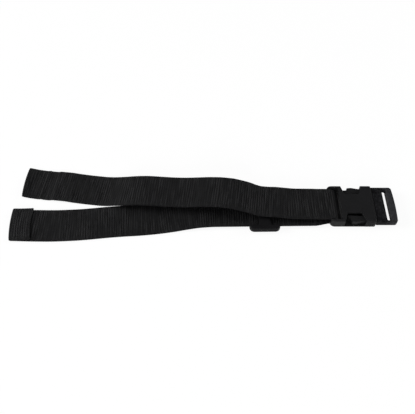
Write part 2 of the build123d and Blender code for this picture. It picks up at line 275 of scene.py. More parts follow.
    def height(self, tree: bpy.types.NodeTree, strip: bpy.types.NodeSocket, split: bpy.types.Node,
               off: bpy.types.NodeSocket, press: bpy.types.NodeSocket) -> bpy.types.NodeSocket:
        """Add the height of the weave: ribs with a slanted weft, warp cords and fibres.

        Args:
            tree: the material's node tree.
            strip: place on the strip in mm.
            split: the same place as separate X and Y.
            off: distance from the strip's middle line in mm.
            press: how full the weave stands.

        Returns:
            The height, where 1 is the height of a plain rib.
        """
        along = add_node(tree, "ShaderNodeMath", {"operation": "MULTIPLY"},
                         {0: split.outputs["X"], 1: 2 * math.pi / self.rib_pitch})
        across = add_node(tree, "ShaderNodeMath", {"operation": "MULTIPLY"},
                          {0: split.outputs["Y"], 1: 2 * math.pi / self.cord_pitch})
        cord = add_node(tree, "ShaderNodeMath", {"operation": "COSINE"}, {0: across.outputs[0]})
        half_turn = add_node(tree, "ShaderNodeMath", {"operation": "MULTIPLY_ADD"},
                             {0: across.outputs[0], 1: 0.5, 2: along.outputs[0]})
        weft = add_node(tree, "ShaderNodeMath", {"operation": "COSINE"}, {0: half_turn.outputs[0]})
        rib = add_node(tree, "ShaderNodeMath", {"operation": "COSINE"}, {0: along.outputs[0]})
        plain = self.width / 2 - self.selvage
        inside = add_node(tree, "ShaderNodeMapRange", {"interpolation_type": "SMOOTHSTEP"},
                          {"Value": off, "From Min": plain, "From Max": plain - self.selvage_fade,
                           "To Min": self.selvage_ribs, "To Max": 1.0})
        ribs = add_node(tree, "ShaderNodeMath", {"operation": "MULTIPLY_ADD"},
                        {0: weft.outputs[0], 1: self.slant_share, 2: rib.outputs[0]})
        firm = add_node(tree, "ShaderNodeMath", {"operation": "MULTIPLY"},
                        {0: press, 1: inside.outputs[0]})
        body = add_node(tree, "ShaderNodeMath", {"operation": "MULTIPLY"},
                        {0: ribs.outputs[0], 1: firm.outputs[0]})
        weave = add_node(tree, "ShaderNodeMath", {"operation": "MULTIPLY_ADD"},
                         {0: cord.outputs[0], 1: self.cord_share, 2: body.outputs[0]})
        fibre = add_node(tree, "ShaderNodeTexNoise", {"noise_dimensions": "2D"},
                         {"Vector": strip, "Scale": 1 / self.fibre, "Detail": 3.0,
                          "Roughness": self.fibre_rough})
        height = add_node(tree, "ShaderNodeMath", {"operation": "MULTIPLY_ADD"},
                          {0: fibre.outputs[0], 1: self.fibre_share, 2: weave.outputs[0]})
        return height.outputs[0]

    def tone(self, tree: bpy.types.NodeTree, strip: bpy.types.NodeSocket, off: bpy.types.NodeSocket,
             press: bpy.types.NodeSocket) -> bpy.types.NodeSocket:
        """Add the tone of the yarn: handling, tight ribs and the darker turned edge.

        Args:
            tree: the material's node tree.
            strip: place on the strip in mm.
            off: distance from the strip's middle line in mm.
            press: how full the weave stands.

        Returns:
            The tone, where 1 lets the crowns reach their full colour.
        """
        paler_tone = add_node(tree, "ShaderNodeTexNoise", {"noise_dimensions": "2D"},
                        {"Vector": strip, "Scale": 1 / self.wear_patch, "Detail": 2.0})
        tone_ramp = add_node(tree, "ShaderNodeMapRange",
                           inputs={"Value": paler_tone.outputs[0], "From Min": self.wear_levels[0],
                                   "From Max": self.wear_levels[1], "To Min": self.wear_tone[0],
                                   "To Max": self.wear_tone[1]})
        drawn = add_node(tree, "ShaderNodeMapping",
                         inputs={"Vector": strip, "Scale": (1 / self.streak[0], 1 / self.streak[1], 1.0)})
        tight = add_node(tree, "ShaderNodeTexNoise", {"noise_dimensions": "2D"},
                         {"Vector": drawn.outputs[0], "Scale": 1.0, "Detail": 2.0})
        pull = add_node(tree, "ShaderNodeMapRange", {"interpolation_type": "SMOOTHSTEP"},
                        {"Value": tight.outputs[0], "From Min": self.streak_levels[0],
                         "From Max": self.streak_levels[1], "To Min": self.streak_tone[0],
                         "To Max": self.streak_tone[1]})
        streaks = add_node(tree, "ShaderNodeMath", {"operation": "MULTIPLY"},
                           {0: pull.outputs[0], 1: press})
        full = add_node(tree, "ShaderNodeMath", {"operation": "ADD"},
                        {0: tone_ramp.outputs[0], 1: streaks.outputs[0]})
        edge = add_node(tree, "ShaderNodeMapRange", {"interpolation_type": "SMOOTHSTEP"},
                        {"Value": off, "From Min": self.width / 2 - self.selvage_turn[0],
                         "From Max": self.width / 2 - self.selvage_turn[1], "To Min": 1.0,
                         "To Max": self.selvage_shade})
        lit = add_node(tree, "ShaderNodeMath", {"operation": "MULTIPLY"},
                       {0: full.outputs[0], 1: edge.outputs[0]})
        return lit.outputs[0]


@dataclass(frozen=True)
class MeltedPolypropylene:
    """Cut end of the webbing, sealed with a hot knife.

    The yarns have run together into a smooth, lumpy bead that is glossier than the weave.
    """

    name: str = "melted_polypropylene"
    colour: str = "#0f0f10"
    hollow: str = "#070708"      # between the lumps: painted shade in the hollows
    lump: float = 1.1            # mm across one lump
    relief: float = 0.2          # mm
    bump: float = 0.6
    roughness: float = 0.38
    ior: float = 1.49
    specular: float = 0.2

    def build(self) -> bpy.types.Material:
        """Build the material from lumps of the size that the molten yarn ends leave.

        Returns:
            The material.
        """
        material, tree = new_material(self.name)
        place = add_node(tree, "ShaderNodeTexCoord")
        lumps = add_node(tree, "ShaderNodeTexNoise",
                         inputs={"Vector": place.outputs["Object"], "Scale": 1 / (self.lump * MM),
                                 "Detail": 2.0})
        # painted shade: the hollows between the lumps are darker
        colour = add_node(tree, "ShaderNodeMix", {"data_type": "RGBA"},
                          {0: lumps.outputs[0], 6: linear(self.hollow), 7: linear(self.colour)})
        bump = add_node(tree, "ShaderNodeBump",
                        inputs={"Strength": self.bump, "Distance": self.relief * MM,
                                "Height": lumps.outputs[0]})
        shader = add_node(tree, "ShaderNodeBsdfPrincipled",
                          inputs={"Base Color": colour.outputs[2], "Roughness": self.roughness,
                                  "IOR": self.ior, "Specular IOR Level": self.specular,
                                  "Normal": bump.outputs[0]})
        add_node(tree, "ShaderNodeOutputMaterial", inputs={"Surface": shader.outputs[0]})
        return material


@dataclass(frozen=True)
class BondedThread:
    """Bonded polyester sewing thread: twisted plies under a thin waxy coat."""

    name: str = "bonded_polyester_thread"
    # the plies' colour goes from groove to crown: painted shade between them
    crown: str = "#1e1e20"
    groove: str = "#060607"
    ply_pitch: float = 0.8       # mm, drawn coarser than the real twist of about 0.4
    twist: float = 40.0          # degrees that the plies slant
    waver: float = 0.6           # how uneven the plies are
    relief: float = 0.1          # mm
    bump: float = 0.6
    roughness: float = 0.5
    ior: float = 1.57
    specular: float = 0.18

    def build(self) -> bpy.types.Material:
        """Build the material as slanted plies seen along the thread.

        Returns:
            The material.
        """
        material, tree = new_material(self.name)
        place = add_node(tree, "ShaderNodeTexCoord")
        turned = add_node(tree, "ShaderNodeMapping",
                          inputs={"Vector": place.outputs["Object"],
                                  "Rotation": (0.0, 0.0, math.radians(self.twist))})
        plies = add_node(tree, "ShaderNodeTexWave", {"wave_type": "BANDS", "bands_direction": "Y"},
                         {"Vector": turned.outputs[0], "Scale": WAVE_PERIOD / (self.ply_pitch * MM),
                          "Distortion": self.waver, "Detail": 1.0})
        # painted shade between the plies
        colour = add_node(tree, "ShaderNodeMix", {"data_type": "RGBA"},
                          {0: plies.outputs[1], 6: linear(self.groove), 7: linear(self.crown)})
        bump = add_node(tree, "ShaderNodeBump",
                        inputs={"Strength": self.bump, "Distance": self.relief * MM,
                                "Height": plies.outputs[1]})
        shader = add_node(tree, "ShaderNodeBsdfPrincipled",
                          inputs={"Base Color": colour.outputs[2], "Roughness": self.roughness,
                                  "IOR": self.ior, "Specular IOR Level": self.specular,
                                  "Normal": bump.outputs[0]})
        add_node(tree, "ShaderNodeOutputMaterial", inputs={"Surface": shader.outputs[0]})
        return material


@dataclass(frozen=True)
class MouldedAcetal:
    """Black acetal, injection moulded in a spark-eroded tool.

    The tool leaves an even, very fine grain that breaks up reflections into a satin. The edges are drawn
    a little paler than the faces, partly as wear and partly as a painted highlight. Sizes are in
    millimetres.
    """

    name: str = "moulded_acetal"
    face: str = "#0d0d0e"
    paler_tone: str = "#1f1f21"        # paler tone for specks, slow drift, edge wear and painted highlights
    grain: float = 0.45          # drawn coarser than the real 0.1
    grain_rough: float = 0.65    # how strongly the finest grain shows
    mottle: float = 0.12         # share of paler colour in the grain
    speck: float = 0.42          # grain level from which the paler colour shows
    speck_fade: float = 0.2      # how slowly it comes in above that level
    drift: float = 14.2857       # across a slow change of tone
    cloud: float = 0.16          # share of paler colour in the slow change
    cloud_levels: Pair = (0.3, 0.7)
    edge: float = 0.35           # rounding left by the tool and by wear
    edge_turn: Pair = (0.995, 0.8)         # how far the face turns where the paler edge, partly wear and partly painted highlight, starts and is full
    edge_share: float = 0.8      # how far the paler colour covers the edges, as wear and painted highlight
    edge_polish: float = 0.12    # rubbed edges are this much smoother
    tone_ramp: Pair = (0.0, 0.0)   # along X: where the painted highlight towards the end bar starts and is full
    end_highlight_share: float = 0.0   # how far the paler colour covers the end bar, as a painted highlight
    recess: float = 5.0          # closer than this to another face, the plastic gets painted shade: paler tones out, gloss dulled
    recess_open: Pair = (0.3, 0.75)        # share of open view at which the painted shade is full, and at which it is gone
    shade_roughness: float = 0.95
    relief: float = 0.05         # depth that the bump stands for
    bump: float = 0.25
    roughness: float = 0.5
    shine: float = 0.14          # specular level
    ior: float = 1.48

    def build(self) -> bpy.types.Material:
        """Build the material: grain, drift, paler edges (wear and painted highlight), painted highlight on
        the end bar, painted shade in recesses.

        Returns:
            The material.
        """
        material, tree = new_material(self.name)
        place = add_node(tree, "ShaderNodeTexCoord")
        grain = add_node(tree, "ShaderNodeTexNoise",
                         inputs={"Vector": place.outputs["Object"], "Scale": 1 / (self.grain * MM),
                                 "Detail": 3.0, "Roughness": self.grain_rough})
        round_edge = add_node(tree, "ShaderNodeBevel", {"samples": 6}, {"Radius": self.edge * MM})
        # paler edges: partly wear, partly a painted highlight
        edge_wear_and_highlight = self.edge_wear_and_highlight(tree, round_edge)
        paler = self.paler(tree, place.outputs["Object"], grain.outputs[0], edge_wear_and_highlight)
        # painted shade: where other faces are close, the paler tones are taken out and the roughness raised
        near = add_node(tree, "ShaderNodeAmbientOcclusion", {"samples": 8},
                        {"Distance": self.recess * MM})
        unshaded = add_node(tree, "ShaderNodeMapRange", {"interpolation_type": "SMOOTHSTEP"},
                         {"Value": near.outputs["AO"], "From Min": self.recess_open[0],
                          "From Max": self.recess_open[1]})
        unshaded_paler = add_node(tree, "ShaderNodeMath", {"operation": "MULTIPLY"},
                           {0: paler, 1: unshaded.outputs[0]})
        colour = add_node(tree, "ShaderNodeMix", {"data_type": "RGBA"},
                          {0: unshaded_paler.outputs[0], 6: linear(self.face), 7: linear(self.paler_tone)})
        bump = add_node(tree, "ShaderNodeBump",
                        inputs={"Strength": self.bump, "Distance": self.relief * MM,
                                "Height": grain.outputs[0], "Normal": round_edge.outputs[0]})
        satin = add_node(tree, "ShaderNodeMapRange",
                         inputs={"Value": edge_wear_and_highlight, "To Min": self.roughness,
                                 "To Max": self.roughness - self.edge_polish})
        gloss = add_node(tree, "ShaderNodeMix", {"data_type": "FLOAT"},
                         {0: unshaded.outputs[0], 2: self.shade_roughness, 3: satin.outputs[0]})
        shader = add_node(tree, "ShaderNodeBsdfPrincipled",
                          inputs={"Base Color": colour.outputs[2], "Roughness": gloss.outputs[0],
                                  "IOR": self.ior, "Specular IOR Level": self.shine,
                                  "Normal": bump.outputs[0]})
        add_node(tree, "ShaderNodeOutputMaterial", inputs={"Surface": shader.outputs[0]})
        return material

    def edge_wear_and_highlight(self, tree: bpy.types.NodeTree, round_edge: bpy.types.Node) -> bpy.types.NodeSocket:
        """Add the paler edges, partly wear and partly painted highlight: where the rounded surface turns
        away from the true face.

        Args:
            tree: the material's node tree.
            round_edge: the node that rounds the edges.

        Returns:
            How far the edge is drawn paler, as wear and painted highlight.
        """
        true_face = add_node(tree, "ShaderNodeNewGeometry")
        match = add_node(tree, "ShaderNodeVectorMath", {"operation": "DOT_PRODUCT"},
                         {0: round_edge.outputs[0], 1: true_face.outputs["Normal"]})
        edge_wear_and_highlight = add_node(tree, "ShaderNodeMapRange", {"interpolation_type": "SMOOTHSTEP"},
                          {"Value": match.outputs["Value"], "From Min": self.edge_turn[0],
                           "From Max": self.edge_turn[1], "To Min": 0.0, "To Max": self.edge_share})
        return edge_wear_and_highlight.outputs[0]

    def paler(self, tree: bpy.types.NodeTree, place: bpy.types.NodeSocket, grain: bpy.types.NodeSocket,
              edge_wear_and_highlight: bpy.types.NodeSocket) -> bpy.types.NodeSocket:
        """Add up what makes the plastic paler: edges (wear and painted highlight), specks, slow drift and
        the painted highlight on the end bar.

        Args:
            tree: the material's node tree.
            place: place in the object's own frame.
            grain: level of the grain.
            edge_wear_and_highlight: how far the edge is drawn paler, as wear and painted highlight.

        Returns:
            Share of the paler colour.
        """
        patchy = add_node(tree, "ShaderNodeMath", {"operation": "MULTIPLY"}, {0: edge_wear_and_highlight, 1: grain})
        specks = add_node(tree, "ShaderNodeMapRange", {"interpolation_type": "SMOOTHSTEP"},
                          {"Value": grain, "From Min": self.speck,
                           "From Max": self.speck + self.speck_fade,
                           "To Min": 0.0, "To Max": self.mottle})
        soft = add_node(tree, "ShaderNodeMath", {"operation": "ADD"},
                        {0: patchy.outputs[0], 1: specks.outputs[0]})
        drift = add_node(tree, "ShaderNodeTexNoise",
                         inputs={"Vector": place, "Scale": 1 / (self.drift * MM), "Detail": 2.0})
        tone = add_node(tree, "ShaderNodeMapRange",
                        inputs={"Value": drift.outputs[0], "From Min": self.cloud_levels[0],
                                "From Max": self.cloud_levels[1], "To Min": 0.0, "To Max": self.cloud})
        split = add_node(tree, "ShaderNodeSeparateXYZ", inputs={0: place})
        # painted highlight: paler towards the plug's end bar
        end_highlight = add_node(tree, "ShaderNodeMapRange", {"interpolation_type": "SMOOTHSTEP"},
                        {"Value": split.outputs["X"], "From Min": self.tone_ramp[0] * MM,
                         "From Max": self.tone_ramp[1] * MM, "To Min": 0.0,
                         "To Max": self.end_highlight_share})
        drifted = add_node(tree, "ShaderNodeMath", {"operation": "ADD"},
                           {0: end_highlight.outputs[0], 1: tone.outputs[0]})
        mix = add_node(tree, "ShaderNodeMath", {"operation": "ADD", "use_clamp": True},
                       {0: soft.outputs[0], 1: drifted.outputs[0]})
        return mix.outputs[0]


def smooth_curve(knots: Sequence[Pair]) -> Callable[[np.ndarray], np.ndarray]:
    """Make a smooth curve through knots that never swings past them.

    Args:
        knots: (x, value) pairs with rising x.

    Returns:
        A function that gives the value at any x between the knots.
    """
    xs = np.array([k[0] for k in knots], float)
    ys = np.array([k[1] for k in knots], float)
    gaps = np.diff(xs)
    slopes = np.diff(ys) / gaps
    tangents = np.zeros_like(xs)
    tangents[0], tangents[-1] = slopes[0], slopes[-1]
    for i in range(1, len(xs) - 1):
        if slopes[i - 1] * slopes[i] > 0:
            tangents[i] = 2 * slopes[i - 1] * slopes[i] / (slopes[i - 1] + slopes[i])

    def value(x: np.ndarray) -> np.ndarray:
        """Give the curve's value.

        Args:
            x: where, between the first knot and the last.

        Returns:
            The value at each x, by cubic Hermite pieces.
        """
        i = np.clip(np.searchsorted(xs, x) - 1, 0, len(gaps) - 1)
        t = (x - xs[i]) / gaps[i]
        return (ys[i] * (2 * t**3 - 3 * t**2 + 1) + ys[i + 1] * (3 * t**2 - 2 * t**3)
                + gaps[i] * (tangents[i] * (t**3 - 2 * t**2 + t) + tangents[i + 1] * (t**3 - t**2)))

    return value


@dataclass
class StrapBar:
    """The socket's strap bar, which the webbing's place is measured from."""

    centre: Vector = field(default_factory=Vector)
    radius: float = 2.9

    @classmethod
    def from_frame(cls) -> "StrapBar":
        """Read the bar's place from the joint that the socket turns on."""
        joint = next(j for j in frame["joints"] if j["name"] == "buckle_swivel")
        return cls(centre=Vector(joint["pos_m"]) / MM)


@dataclass
class FoldedWebbing:
    """One length of webbing: upper run, loop round the bar, lower run and hem.

    Sizes are in millimetres. Knots are measured from the strap bar's axis and from the
    table: x is negative towards the free ends.
    """

    bar: StrapBar
    width: float = 38.0
    thickness: float = 1.5
    gap: float = 0.3             # between the bar and the loop
    rib_pitch: float = 2.4
    rib_height: float = 0.32
    rib_round: float = 0.7       # less than 1 makes the ribs fuller than a plain wave
    rib_level: float = 0.6       # the part of a rib that lies below the smooth face
    rib_pull: float = 0.8        # usual height of a rib, before the pull of the loom changes it
    pull_slow: float = 0.22      # slow change in that height
    pull_quick: float = 0.12     # quick change
    slow_turns: Pair = (0.31, 0.083)       # radians per mm of the two waves of the slow change
    quick_turn: float = 1.13
    selvage: float = 2.6
    selvage_fade: float = 1.2
    scallop: float = 0.07        # how far the ribs push the two edges in and out
    scallop_reach: float = 1.0
    edge_inset: float = 0.9      # the flat faces end this far from the two edges
    edge_round: float = 0.35
    edge_lift: float = 0.42      # height of the rounded edge, as a share of the thickness
    fine_step: float = 0.1       # between the first points of the middle line
    step: float = 0.5            # between the rings of the finished strip
    across: int = 25             # points across each face
    side_passes: int = 12        # smoothing of the strip's heading
    steep: float = 1e-3          # a step shorter than this in plan gives no heading
    slack: float = 4.0           # the loop hangs this far off the bar
    droop: float = 1.6           # 1 is a round loop, more lets it fall away behind the bar
    end_reach: float = 14.0      # distance over which a cut end's shape fades out
    end_bulge: float = 1.1
    end_skew: float = 1.5
    raw_bulge: float = 1.4       # the same for the hem's raw edge
    raw_skew: float = 0.7
    hem_length: float = 21.0
    hem_gap: float = 0.35
    hem_drift: float = 0.02      # the hem turns away from the lower run by this much per mm
    hem_curve: float = 1.1       # and back by this much at its raw edge
    fold_skew: float = 1.5       # the hem was folded this much out of square at each edge
    fold_bulge: float = 1.2
    fold_reach: float = 30.0     # distance over which the skew fades out
    fold_rest: float = 0.35      # share of it that is left at the hem's raw edge
    upper_height: tuple[Pair, ...] = (
        (-319, 2.9), (-309, 1.35), (-301, 1.0), (-298.4, 1.5), (-295.5, 1.0), (-289.5, 1.1),
        (-286, 2.1), (-281, 2.2), (-275, 2.3), (-264, 1.4), (-250, 0.93), (-238, 0.98), (-229, 1.9),
        (-219, 4.3), (-207, 7.4), (-198, 9.2), (-187, 10.4), (-176, 10.6), (-166, 10.8), (-158, 11.3),
        (-149, 12.4), (-140, 14.1), (-124, 17.2), (-112, 18.5), (-104, 18.5), (-93, 16.6), (-85, 14.4),
        (-77.5, 11.2), (-72, 9.8), (-66, 9.75), (-57, 10.5), (-46, 10.4), (-34, 9.7), (-20, 9.5),
        (-9, 9.15), (4.5, 9.15))
    upper_side: tuple[Pair, ...] = (
        (-319, 32.8), (-226, 20.8), (-210, 18.5), (-150, 12.5), (-57, 1.6), (-38, 0.0), (4.5, 0.0))
    lower_height: tuple[Pair, ...] = (
        (-325.4, 0.93), (-176, 0.93), (-163, 1.12), (-148, 2.2), (-134, 3.2), (-122, 3.45), (-22, 3.45),
        (-17, 3.1), (-10, 1.5), (-7, 1.25), (4.5, 1.25))
    lower_side: tuple[Pair, ...] = (
        (-325.4, -20.3), (-302, -21.0), (-286, -21.2), (-262, -20.3), (-223, -16.4), (-210, -15.3),
        (-198, -14.5), (-182, -12.9), (-166, -10.6), (-150, -8.1), (-134, -6.3), (-118, -5.44),
        (-100, -5.2), (-33, -4.29), (-20, -4.1), (-14, -2.6), (-9, -0.7), (-6, -0.05), (-3, 0.0),
        (4.5, 0.0))
    points: np.ndarray = field(init=False)     # every ring of the finished strip
    length: float = field(init=False)

    def centre_line(self) -> np.ndarray:
        """Trace the middle of the webbing from the sealed end to the hem's raw edge.

        Returns:
            Evenly spaced points in mm, measured from the bar sideways and from the table up.
        """
        fine = self.fine_step
        x = np.arange(self.upper_height[0][0], 0, fine)
        upper = np.stack([x, smooth_curve(self.upper_side)(x), smooth_curve(self.upper_height)(x)], 1)
        loop = self.bar.radius + self.gap + self.thickness / 2
        turn = np.arange(math.pi / 2, -math.pi / 2, -fine / loop)
        lift = np.sign(np.sin(turn)) * np.abs(np.sin(turn)) ** self.droop
        round_bar = np.stack([(loop + self.slack) * np.cos(turn) ** self.droop, 0 * turn,
                              self.bar.centre.z + loop * lift], 1)
        fold = (self.thickness + self.hem_gap) / 2
        outside = fold + self.thickness / 2
        x = np.arange(0, self.lower_height[0][0] + outside, -fine)
        lower = np.stack([x, smooth_curve(self.lower_side)(x), smooth_curve(self.lower_height)(x)], 1)
        base = lower[-1]
        turn = np.arange(0, math.pi, fine / fold)
        folded = np.stack([base[0] - fold * np.sin(turn), base[1] + 0 * turn,
                           base[2] + fold - fold * np.cos(turn)], 1)
        back = np.arange(0, self.hem_length - outside, fine)
        drift = -self.hem_drift * back + self.hem_curve * (back / self.hem_length) ** 2
        hem = np.stack([base[0] + back, base[1] + drift, base[2] + 2 * fold + 0 * back], 1)
        line = np.concatenate([upper, round_bar[1:], lower[1:], folded[1:], hem[1:]])
        run = np.concatenate([[0], np.cumsum(np.linalg.norm(np.diff(line, axis=0), axis=1))])
        even = np.linspace(0, run[-1], int(run[-1] / self.step) + 1)
        return np.stack([np.interp(even, run, line[:, k]) for k in range(3)], 1)

    def section(self) -> np.ndarray:
        """Trace the webbing's cross-section, going round it.

        Returns:
            Rows of place across, height and share of the ribs' height.
        """
        half = self.width / 2
        inner = np.linspace(-half + self.edge_inset, half - self.edge_inset, self.across)
        turn = half - self.edge_round
        edge = [(turn, self.edge_lift, 0.0), (half, 0.0, 0.0), (turn, -self.edge_lift, 0.0)]
        share = np.clip((half - np.abs(inner) - self.selvage + self.selvage_fade) / self.selvage_fade, 0, 1)
        top = [(v, 0.5, s) for v, s in zip(inner, share)]
        low = [(v, -0.5, s) for v, s in zip(inner[::-1], share[::-1])]
        left = [(-v, -up, s) for v, up, s in edge]
        rows = np.array(top + edge + low + left)
        rows[:, 1] *= self.thickness
        return rows

    def axes(self, line: np.ndarray) -> tuple[np.ndarray, np.ndarray, np.ndarray]:
        """Find the strip's own directions along its middle line.

        Args:
            line: the middle line's points.

        Returns:
            Unit vectors along the strip, across it and out of its face, for each point.
        """
        tangent = np.gradient(line, axis=0)
        tangent /= np.linalg.norm(tangent, axis=1)[:, None]
        plan = np.gradient(line[:, :2], axis=0)
        heading = np.where(np.linalg.norm(plan, axis=1)[:, None] > self.steep, plan, [1.0, 0.0])
        heading /= np.linalg.norm(heading, axis=1)[:, None]
        side = np.stack([-heading[:, 1], heading[:, 0], 0 * heading[:, 0]], 1)
        side *= np.where(side[:, 1] < 0, -1, 1)[:, None]
        for _ in range(self.side_passes):
            side[1:-1] = (side[:-2] + side[1:-1] * 2 + side[2:]) / 4
        side -= tangent * np.sum(side * tangent, axis=1)[:, None]
        side /= np.linalg.norm(side, axis=1)[:, None]
        return tangent, side, np.cross(tangent, side)

    def rib_wave(self, run: np.ndarray) -> np.ndarray:
        """Give the height of the ribs along the strip, uneven as the loom leaves them.

        Args:
            run: distance along the strip.

        Returns:
            Height above the smooth face, as a share of rib_height.
        """
        slow = self.pull_slow * np.sin(run * self.slow_turns[0]) * np.sin(run * self.slow_turns[1] + 1)
        pull = self.rib_pull + slow + self.pull_quick * np.sin(run * self.quick_turn + 2)
        return pull * (np.abs(np.cos(math.pi * run / self.rib_pitch)) ** self.rib_round - self.rib_level)

    def build(self) -> bpy.types.Object:
        """Build the ribbed strip as one closed mesh.

        Returns:
            The webbing's object.
        """
        line = self.centre_line()
        count = len(line)
        run = np.arange(count) * self.step
        rows = self.section()
        v, h, share = rows[:, 0], rows[:, 1], rows[:, 2]
        tangent, side, up = self.axes(line)
        wave = self.scallop * np.cos(2 * math.pi * run / self.rib_pitch)
        half = self.width / 2
        lean = 1 + wave[:, None] * (np.abs(v) > half - self.scallop_reach)[None, :] / half
        rise = share[None, :] * self.rib_wave(run)[:, None] * self.rib_height
        swell = h[None, :] + np.sign(h)[None, :] * rise
        ends = self.end_shift(run, v)
        points = (line[:, None, :] + side[:, None, :] * (v[None, :] * lean)[:, :, None]
                  + up[:, None, :] * swell[:, :, None] + tangent[:, None, :] * ends[:, :, None])
        points[:, :, 0] += self.fold_shift(run, v)
        points += np.array([self.bar.centre.x, self.bar.centre.y, 0.0])
        self.points = points
        self.length = float(run[-1])
        ring = len(rows)
        faces = [(i * ring + j, i * ring + (j + 1) % ring, (i + 1) * ring + (j + 1) % ring,
                  (i + 1) * ring + j) for i in range(count - 1) for j in range(ring)]
        faces += [tuple(range(ring - 1, -1, -1)), tuple((count - 1) * ring + j for j in range(ring))]
        piece = add_mesh("webbing_cloth", (points.reshape(-1, 3) * MM).tolist(), faces)
        self.map_strip(piece.data, run, v)
        return piece

    def map_strip(self, mesh: bpy.types.Mesh, run: np.ndarray, v: np.ndarray) -> None:
        """Write each corner's place on the strip, in mm, to a UV map.

        Args:
            mesh: the strip's mesh.
            run: distance along the strip of each ring.
            v: place across the strip of each point in a ring.
        """
        corner = np.zeros(len(mesh.loops), int)
        mesh.loops.foreach_get("vertex_index", corner)
        spots = np.zeros((len(corner), 2))
        spots[:, 0] = run[corner // len(v)]
        spots[:, 1] = v[corner % len(v)] + self.width / 2
        mesh.uv_layers.new(name="strip").data.foreach_set("uv", spots.ravel())
        mesh.update()

    def end_shift(self, run: np.ndarray, v: np.ndarray) -> np.ndarray:
        """Shift along the strip that gives the cut ends their slightly bowed, skewed line.

        Args:
            run: distance along the strip of each ring.
            v: place across the strip of each point in a ring.

        Returns:
            The shift of each point of each ring along the strip.
        """
        fade_start = np.clip(1 - run / self.end_reach, 0, 1)[:, None]
        fade_end = np.clip(1 - (run[-1] - run) / self.end_reach, 0, 1)[:, None]
        across = (v / (self.width / 2))[None, :]
        start = -self.end_bulge * (1 - across**2) - self.end_skew * across
        finish = self.raw_skew * across - self.raw_bulge * (1 - across**2)
        return fade_start * start + fade_end * finish

    def fold_shift(self, run: np.ndarray, v: np.ndarray) -> np.ndarray:
        """Shift along X that turns the hem's fold a little out of square and bows it.

        Args:
            run: distance along the strip of each ring.
            v: place across the strip of each point in a ring.

        Returns:
            The shift along X of each point of each ring.
        """
        fold = run[-1] - self.hem_length
        near = np.clip((run - fold + self.fold_reach) / self.fold_reach, 0, 1)
        far = np.clip(1 - (run - fold) / self.hem_length, 0, 1)
        hem = self.fold_rest + (1 - self.fold_rest) * far
        share = np.where(run < fold, near * near * (3 - 2 * near), hem)[:, None]
        across = (v / (self.width / 2))[None, :]
        return -share * (self.fold_skew * across + self.fold_bulge * (1 - across**2))

    def end_line(self, first: bool) -> np.ndarray:
        """Find the middle of the strip's cut face at one of its two ends.

        Args:
            first: True for the sealed end, False for the hem's raw edge.

        Returns:
            Points across the strip in mm, from its near side to its far side.
        """
        ring = self.points[0 if first else -1]
        under = self.across + EDGE_POINTS
        return (ring[:self.across] + ring[under:under + self.across][::-1]) / 2

    def dress(self, piece: bpy.types.Object) -> None:
        """Give the strip its weave, hang it on the strap's body and hide the CAD webbing.

        Args:
            piece: the webbing's object.
        """
        weave = WovenPolypropylene(rib_pitch=self.rib_pitch, selvage=self.selvage,
                                   selvage_fade=self.selvage_fade, width=self.width)
        piece.data.materials.append(weave.build())
        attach(piece, Body.STRAP.value)
        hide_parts("webbing")
        log.info("webbing: %.0f mm of %.0f mm strip, %d faces", self.length, self.width,
                 len(piece.data.polygons))


@dataclass
class SealedEdge:
    """Bead of melted yarn along one cut end of the webbing. Sizes are in millimetres."""

    name: str
    line: np.ndarray             # middle of the cut, from side to side
    depth: float = 0.75          # reach of the bead along the strip, each way
    height: float = 0.74         # half height
    side: float = 0.5            # past the last point at each side
    ring: int = 14
    steps: int = 90
    lump: float = 0.10           # share by which the wide lumps swell the bead
    lump_turn: float = 2.3       # radians per mm
    small_lump: float = 0.07
    small_turn: float = 5.1
    ripple: float = 0.05
    ripple_turn: float = 3.7
    ripples: int = 3             # round the bead
    cap_round: int = 24          # the higher, the blunter the bead's two ends
    cap_least: float = 0.02      # keeps the two ends from closing to a point

    def build(self) -> bpy.types.Object:
        """Build the bead as a closed, slightly lumpy tube.

        Returns:
            The bead's object.
        """
        reach = np.linalg.norm(np.diff(self.line, axis=0), axis=1)
        run = np.concatenate([[0], np.cumsum(reach)])
        at = np.linspace(-self.side, run[-1] + self.side, self.steps)
        start = self.line[0] - (self.line[1] - self.line[0]) / reach[0] * self.side
        end = self.line[-1] + (self.line[-1] - self.line[-2]) / reach[-1] * self.side
        run = np.concatenate([[-self.side], run, [run[-1] + self.side]])
        line = np.vstack([start, self.line, end])
        middle = np.stack([np.interp(at, run, line[:, k]) for k in range(3)], 1)
        verts: list[Point] = []
        for i, spot in enumerate(middle):
            wide = (1 + self.lump * math.sin(at[i] * self.lump_turn)
                    + self.small_lump * math.sin(at[i] * self.small_turn + 1.0))
            outward = abs(2 * i / (self.steps - 1) - 1)
            cap = math.sqrt(max(self.cap_least, 1 - outward ** self.cap_round))
            for j in range(self.ring):
                a = 2 * math.pi * j / self.ring
                ripple = 1 + self.ripple * math.sin(self.ripples * a + at[i] * self.ripple_turn)
                x = spot[0] + self.depth * wide * cap * ripple * math.cos(a)
                z = spot[2] + self.height * cap * ripple * math.sin(a)
                verts.append((x * MM, spot[1] * MM, z * MM))
        return add_mesh(self.name, verts, tube_faces(0, self.steps, self.ring))

    def dress(self, piece: bpy.types.Object) -> None:
        """Give the bead its melted finish and hang it on the strap's body.

        Args:
            piece: the bead's object.
        """
        piece.data.materials.append(MeltedPolypropylene().build())
        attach(piece, Body.STRAP.value)
        log.info("%s: %d faces", self.name, len(piece.data.polygons))


